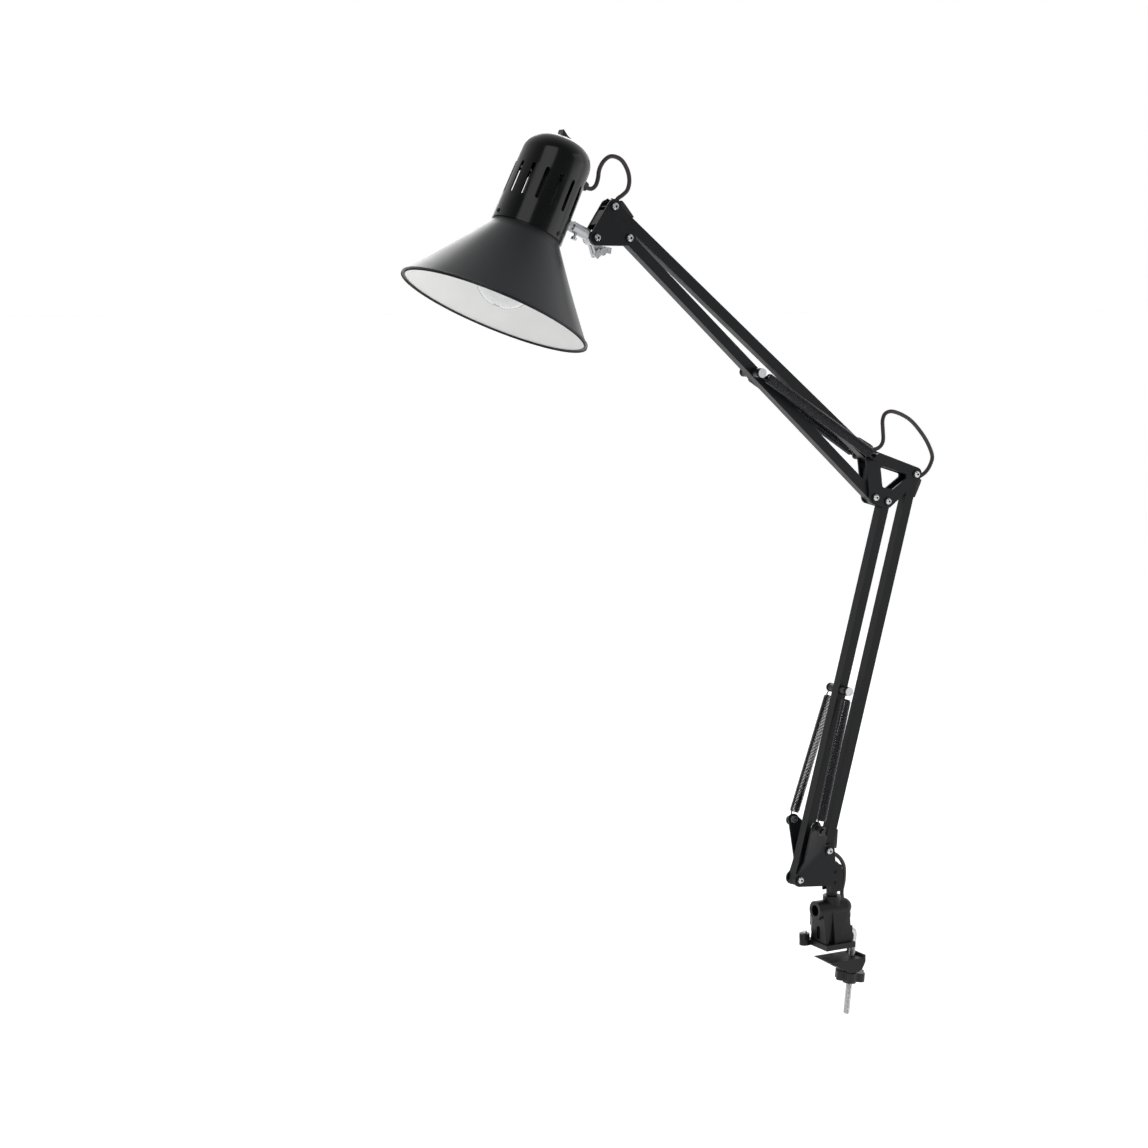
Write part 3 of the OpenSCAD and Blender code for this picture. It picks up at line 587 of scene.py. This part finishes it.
# Where the wire crosses from the hook to the coil, as shares of the hook's length and the coil's radius
CROSS_ALONG = 0.62
CROSS_UP = 0.55
CROSS_OUT = 0.0002
# The end turns' radius, as a share of the coil's
END_TURN = 0.72
YOKE_SPRING = Vector((-0.0295, 0, 0.1135))
# How far the springs' ends are from the lamp's middle plane
YOKE_OUT = 0.02112
CROSSPIN_OUT = 0.0125
ELBOW_OUT = 0.014


def spring_route(start, end):
    """Close coil between two hooks that pass round the pins at the ends."""
    way = end - start
    length = way.length
    way.normalize()
    across = Vector((0, 1, 0))
    across = (across - way * across.dot(way)).normalized()
    up = way.cross(across)
    begin = HOOK + HOOK_GAP
    body = length - 2 * begin
    turns = round(body / SPRING_STEP)
    steps = turns * TURN_SIDES
    route = []
    # Each hook is most of a turn round its pin, in the plane across the pin
    for degrees in range(-150, 151, 15):
        a = math.radians(degrees)
        route.append(start + way * (-PIN_R * math.cos(a)) + up * (PIN_R * math.sin(a)))
    route.append(start + way * (HOOK * CROSS_ALONG) + up * (SPRING_R * CROSS_UP) + across * CROSS_OUT)
    for k in range(steps + 1):
        a = math.pi / 2 - 2 * math.pi * k / TURN_SIDES
        reach = begin + body * k / steps
        # The first and last turns close in towards the hook
        close = min(k, steps - k) / TURN_SIDES
        r = SPRING_R * (END_TURN + (1 - END_TURN) * min(1, close))
        route.append(start + way * reach + up * (r * math.sin(a)) + across * (r * math.cos(a)))
    route.append(end - way * (HOOK * CROSS_ALONG) + up * (SPRING_R * CROSS_UP) - across * CROSS_OUT)
    for degrees in range(150, -151, -15):
        a = math.radians(degrees)
        route.append(end + way * (PIN_R * math.cos(a)) + up * (PIN_R * math.sin(a)))
    return route


def make_spring(place, start, end):
    """A wound spring from a pin on one body to a pin on another."""
    spring = tube("wound_spring_" + place, spring_route(start, end), WIRE_R, look["spring_nickel"], 8)
    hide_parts("spring_" + place)
    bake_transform(spring)


def make_springs():
    lower_mid = YOKE_A + (ELBOW_B - YOKE_B) / 2
    upper_mid = ELBOW_C + UPPER_WAY * (UPPER_LEN / 2)
    for side, word in ((-1, "left"), (1, "right")):
        out = Vector((0, side, 0))
        make_spring("lower_" + word, YOKE_SPRING + out * YOKE_OUT, lower_mid + out * CROSSPIN_OUT)
        make_spring("upper_" + word, ELBOW_D + out * ELBOW_OUT, upper_mid + out * CROSSPIN_OUT)


make_springs()


# ---- shade, bulb and holder ----------------------------------------------------------

# The shade's sizes in mm. Its cone runs from just above the rim to the neck.
RIM_R = 79.0
NECK_R = 28.7
WALL = 1.0
BEAD = 1.5
CONE_FROM = 2.3
CONE_RISE = 65.7
CONE_STEPS = 14
# The cone's side is very slightly hollow, as a spun one is
HOLLOW = 0.9


def cone_side(bottom_r, change, steps):
    """Points up one face of the cone, for the given shares of its height."""
    return [(bottom_r + change * t - HOLLOW * math.sin(math.pi * t), CONE_FROM + CONE_RISE * t)
            for t in (k / CONE_STEPS for k in steps)]


def make_shade():
    """Spun cone: black outside and over the rolled rim, white inside."""
    outer_r = RIM_R - 0.7
    inner_r = RIM_R - 2.0
    outer = [(outer_r, CONE_FROM)] + cone_side(outer_r, NECK_R + 0.4 - outer_r, range(1, CONE_STEPS + 1))
    outer += [(NECK_R, 70), (NECK_R, 76)]
    inner = [(NECK_R - WALL, 76), (NECK_R - WALL, 69.8)]
    inner += cone_side(inner_r, NECK_R - 0.7 - inner_r, range(CONE_STEPS, -1, -1))
    rim = arc((RIM_R - 0.6, 0.9), BEAD, 205, -25, 12)
    profile = outer + inner + [(RIM_R - 2.2, 1.6)] + rim + [(RIM_R + 0.7, 2.0)]
    white_from = len(outer) + 1
    white_to = len(outer) + len(inner) - 1
    piece = lathe("spun_shade", profile, HEAD, [look["shade_black"], look["shade_white"]], 160,
                  lambda i: 1 if white_from <= i <= white_to else 0)
    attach(piece, "head")
    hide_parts("shade")


# The bulb's sizes in mm, in the head's axes
BALL_R = 27
BALL_Z = 32
GLASS_WALL = 0.6
AXIS_R = 0.01
CAP_FROM = 88
CAP_THREAD = 20
CAP_R = 12.6
CAP_THREAD_DEPTH = 0.55
CAP_PITCH = 3.6
CAP_STEPS = 60
FILAMENT_REACH = 11
FILAMENT_COIL_R = 0.5
FILAMENT_TURNS = 36
FILAMENT_SIDES = 10


def make_glass():
    """Clear envelope with a wall."""
    outer = [(AXIS_R, BALL_Z - BALL_R)] + arc((0, BALL_Z), BALL_R, -84, 44, 26)
    outer += [(16.4, 57), (14.8, 63), (13.9, 70), (13.2, 80), (13.0, 87.5)]
    inner = [(r - GLASS_WALL, z) if r > 1 else (AXIS_R, z + GLASS_WALL) for r, z in reversed(outer)]
    glass = lathe("bulb_envelope", outer + inner, HEAD, [look["clear_glass"]], 72)
    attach(glass, "head")
    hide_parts("bulb_glass")


def make_screw_cap():
    thread = []
    for k in range(CAP_STEPS + 1):
        rise = CAP_THREAD * k / CAP_STEPS
        thread.append((CAP_R + CAP_THREAD_DEPTH * math.sin(2 * math.pi * rise / CAP_PITCH), CAP_FROM + rise))
    outline = [(AXIS_R, CAP_FROM)] + thread + [(11.5, 109.5), (5.2, 112.6), (4.6, 113), (AXIS_R, 113)]
    cap = lathe("bulb_thread", outline, HEAD, [look["bright_steel"]], 64)
    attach(cap, "head")
    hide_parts("bulb_screw_cap")


def make_filament():
    """Glass stem, two support wires and the coiled filament in a half circle between them."""
    outline = [(AXIS_R, 52), (2.4, 53), (2.6, 60), (4.2, 74), (9, 86), (9, 87.6), (AXIS_R, 87.6)]
    stem = lathe("bulb_stem", outline, HEAD, [look["clear_glass"]], 32)
    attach(stem, "head")
    for number, side in enumerate((-1, 1)):
        wire = [on_head(side * 1.6, 0, 56), on_head(side * 5, 0, 44), on_head(side * FILAMENT_REACH, 0, 33)]
        support = tube("bulb_support_%d" % number, smooth_route(wire, 6), 0.00035, look["tungsten"], 8)
        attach(support, "head")
    coil = []
    steps = FILAMENT_TURNS * FILAMENT_SIDES
    for k in range(steps + 1):
        t = k / steps
        bend = math.radians(180 * t)
        a = 2 * math.pi * FILAMENT_TURNS * t
        swing = FILAMENT_COIL_R * math.cos(a)
        coil.append(on_head(-FILAMENT_REACH * math.cos(bend) + swing * math.cos(bend),
                            FILAMENT_REACH * math.sin(bend) + swing * math.sin(bend),
                            33 + FILAMENT_COIL_R * math.sin(a)))
    filament = tube("bulb_filament", coil, 0.00012, look["tungsten"], 6)
    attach(filament, "head")


make_shade()
make_glass()
make_screw_cap()
make_filament()


# ---- clamp bolt ------------------------------------------------------------------------

BOLT_LEAN = math.radians(5.6)
BOLT_CORNER = Vector((25.3, 0, 11.4)) * MM
BOLT_TIP_X = 12.2 * MM
BOLT_LEN = 0.078
BOLT_R = 0.003
BOLT_BEND = 0.0058
THREAD_PITCH = 0.001
THREAD_DEPTH = 0.00032
THREAD_LEN = 0.064
# The thread fades in over this length at the tip, from this share of the radius
TAPER_LEN = 0.0012
TIP_SHARE = 0.55
SHAFT_STEP = 0.00016
BEND_STEPS = 12


def make_bolt():
    """The bent clamp bolt with its rolled thread."""
    up = Vector((math.sin(BOLT_LEAN), 0, math.cos(BOLT_LEAN)))
    end = BOLT_CORNER - up * BOLT_LEN
    start_bend = BOLT_CORNER - up * BOLT_BEND
    stop_bend = BOLT_CORNER - Vector((BOLT_BEND, 0, 0))
    bend = []
    for k in range(BEND_STEPS + 1):
        t = k / BEND_STEPS
        bend.append(start_bend * (1 - t) ** 2 + BOLT_CORNER * 2 * t * (1 - t) + stop_bend * t * t)
    shaft = [end + up * (SHAFT_STEP * k) for k in range(int((BOLT_LEN - BOLT_BEND) / SHAFT_STEP))]
    route = shaft + bend + [Vector((BOLT_TIP_X, 0, BOLT_CORNER.z))]

    def radius(i, angle):
        run = SHAFT_STEP * i
        if run > THREAD_LEN:
            return BOLT_R - 0.0001
        turn = (run / THREAD_PITCH - angle / (2 * math.pi)) % 1
        crest = abs(2 * turn - 1)
        point = min(1, TIP_SHARE + (1 - TIP_SHARE) * run / TAPER_LEN)
        return (BOLT_R - THREAD_DEPTH * min(1, 1.25 * crest)) * point

    bolt = tube("threaded_bolt", route, radius, look["bright_steel"], 28)
    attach(bolt, "clamp")
    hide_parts("clamp_bolt")


make_bolt()


# ---- CAD nodes that stay: rounded edges and their own materials ----------------------

def finish_node(name, material, bevel=0.0, second=None, pick=None):
    """Bevel is in mm. Faces that pick says yes to take the second material."""
    node = nodes[name]
    node.data.materials.clear()
    node.data.materials.append(look[material])
    if second:
        node.data.materials.append(look[second])
        for face in node.data.polygons:
            face.material_index = 1 if pick(face.center) else 0
    normals = node.data.attributes.get("custom_normal")
    if normals:
        node.data.attributes.remove(normals)
    node.data.polygons.foreach_set("use_smooth", [True] * len(node.data.polygons))
    weld = node.modifiers.new("weld", "WELD")
    weld.merge_threshold = 0.01 * MM
    if bevel:
        flat = node.modifiers.new("flat", "DECIMATE")
        flat.decimate_type = "DISSOLVE"
        flat.angle_limit = math.radians(0.5)
        flat.delimit = {"MATERIAL"}
        cut = node.modifiers.new("edges", "BEVEL")
        cut.width = bevel * MM
        cut.segments = 2
        cut.limit_method = "ANGLE"
        cut.angle_limit = math.radians(32)
        cut.use_clamp_overlap = True
        cut.harden_normals = True


WASHER_TOP = 0.00742
# Radius of the painted shade in the sockets of the screw heads, which get black paint instead of steel
SOCKET_SHADE_R = 0.00112
POST_RIVETS = Vector((0, 0, 0.063))
POST_RIVETS_R = 0.009
EAR_OUTSIDE = 0.018
SPRING_PIN_R = 0.006
STUD_FROM = 0.0106
SLEEVE_END = 0.0148
SCREW_AXES = [YOKE_A, YOKE_B, ELBOW_B, ELBOW_C, HEAD_B, HEAD_C, YOKE_A + ELBOW_B - YOKE_B]
SCREW_AXES.append(ELBOW_C + UPPER_WAY * UPPER_LEN)


def off_axis(place, axis):
    """How far a place is from a line across the lamp."""
    return math.hypot(place.x - axis.x, place.z - axis.z)


def dark_or_shaded_on_screw(place):
    """Washers and shanks are dark, the sockets in the heads are painted shade, and only the domed heads are
    bright.
    """
    return abs(place.y) < WASHER_TOP or min(off_axis(place, axis) for axis in SCREW_AXES) < SOCKET_SHADE_R


def dark_on_yoke_screw(place):
    """Also the post's rivets and the outer nuts of the spool screws."""
    return dark_or_shaded_on_screw(place) or off_axis(place, POST_RIVETS) < POST_RIVETS_R or abs(place.y) > EAR_OUTSIDE


def dark_on_elbow_screw(place):
    """Also the pin that the upper springs hang on."""
    return dark_or_shaded_on_screw(place) or off_axis(place, ELBOW_D) < SPRING_PIN_R


def bright_on_stud(place):
    return place.z > STUD_FROM


def bright_on_crosspin(place):
    return abs(place.y) > SLEEVE_END


# Node, material, bevel in mm, then any second material and the faces that take it
FINISHES = [
    ("base_casting", "black_casting", 0.5),
    ("clamp_jaw", "black_casting", 0.5),
    ("clamp_knob", "black_plastic", 0.8),
    ("fixing_bolt", "black_casting", 0.25, "bright_steel", bright_on_stud),
    ("swivel_post", "black_casting", 0.4),
    ("yoke_bracket", "black_paint", 0.25),
    # On the screws, black paint marks the washers and nuts, and is painted shade in the sockets of the heads
    ("yoke_screws", "bright_steel", 0.15, "black_paint", dark_on_yoke_screw),
    ("spring_spools", "black_plastic", 0.25),
    ("lower_front_bar", "black_paint", 0.45),
    ("lower_rear_bar", "black_paint", 0.45),
    ("lower_crosspin", "black_plastic", 0.25, "bright_steel", bright_on_crosspin),
    ("lower_bar_covers", "black_plastic", 0.5),
    ("elbow_bracket", "black_paint", 0.25),
    ("elbow_screws", "bright_steel", 0.15, "black_paint", dark_on_elbow_screw),
    ("upper_lower_bar", "black_paint", 0.45),
    ("upper_upper_bar", "black_paint", 0.45),
    ("upper_crosspin", "black_plastic", 0.25, "bright_steel", bright_on_crosspin),
    ("upper_bar_covers", "black_plastic", 0.5),
    ("head_bracket", "black_paint", 0.25),
    ("head_bracket_screws", "bright_steel", 0.15, "black_paint", dark_or_shaded_on_screw),
    ("tilt_screw", "bright_steel", 0.15, "black_paint", dark_or_shaded_on_screw),
    ("knuckle", "zinc_casting", 0.4),
    ("knuckle_thumb_screw", "bright_steel", 0.2),
    ("swivel_stud", "bright_steel", 0.2),
    ("stud_nut", "bright_steel", 0.25),
    ("shade_cap", "black_gloss", 0.25),
    ("cap_screws", "black_paint", 0.15),
    ("lampholder", "black_plastic", 0.4),
    ("switch_bezel", "white_plastic", 0.35),
    ("switch_rocker", "black_plastic", 0.4),
    ("cord_grommet", "black_plastic", 0.3),
    ("cord_in_upper_bar", "cord_pvc"),
    ("cord_in_lower_bar", "cord_pvc"),
    ("cord_tie", "black_plastic", 0.25),
    ("plug_body", "black_plastic", 1.4),
    ("plug_pins", "bright_steel", 0.3),
]
for entry in FINISHES:
    finish_node(*entry)


# ---- stage and light ---------------------------------------------------------------

FLOOR_Z = -0.0900
FLOOR_HALF = 60.0
FLOOR_GLOW = 0.47
# The way towards the bright side of the studio, and the light from its dim and its bright side
BRIGHT_WAY = (0.485, 0.875, 0)
DIM = 0.18
BRIGHT = 1.0
AIM = (-0.10, 0, 0.35)


def make_stage():
    """A very large pale floor that glows a little, as a light table does."""
    pale = Shader("stage_pale", (0.90, 0.90, 0.90), 0.6)
    pale.vary(0.002, (0.91, 0.91, 0.91), (0.89, 0.89, 0.89), 0.02)
    pale.set(Emission_Color=(1, 1, 1, 1), Emission_Strength=FLOOR_GLOW)
    corners = [(x * FLOOR_HALF, y * FLOOR_HALF, FLOOR_Z) for x, y in ((-1, -1), (1, -1), (1, 1), (-1, 1))]
    floor = object_from("floor", corners, [(0, 1, 2, 3)], [pale.material], smooth=False)


def make_light(name, at, size, power):
    """A square soft light of a size in metres and a power in watts, aimed at the lamp."""
    data = bpy.data.lights.new(name, "AREA")
    data.shape = "SQUARE"
    data.size = size
    data.energy = power
    lamp = bpy.data.objects.new(name, data)
    lamp.location = at
    lamp.rotation_euler = (Vector(AIM) - Vector(at)).to_track_quat("-Z", "Y").to_euler()
    scene.collection.objects.link(lamp)


def make_world():
    """White studio, brightest on the lamp's +Y side and dimmer on its -Y side."""
    world = bpy.data.worlds.new("studio")
    scene.world = world
    world.use_nodes = True
    tree = world.node_tree
    back = tree.nodes["Background"]
    back.inputs["Color"].default_value = (1, 1, 1, 1)
    place = tree.nodes.new("ShaderNodeTexCoord")
    facing = tree.nodes.new("ShaderNodeVectorMath")
    facing.operation = "DOT_PRODUCT"
    facing.inputs[1].default_value = BRIGHT_WAY
    tree.links.new(place.outputs["Generated"], facing.inputs[0])
    strength = tree.nodes.new("ShaderNodeMapRange")
    strength.interpolation_type = "SMOOTHSTEP"
    for key, number in (("From Min", -0.6), ("From Max", 0.85), ("To Min", DIM), ("To Max", BRIGHT)):
        strength.inputs[key].default_value = number
    tree.links.new(facing.outputs["Value"], strength.inputs["Value"])
    tree.links.new(strength.outputs["Result"], back.inputs["Strength"])


make_stage()
make_world()
make_light("key", (-1.6, -1.5, 1.9), 1.6, 11)
make_light("fill", (1.6, -1.2, 0.9), 1.6, 5)
make_light("back", (0.6, 1.8, 1.6), 1.4, 16)
scene.view_settings.view_transform = "Standard"
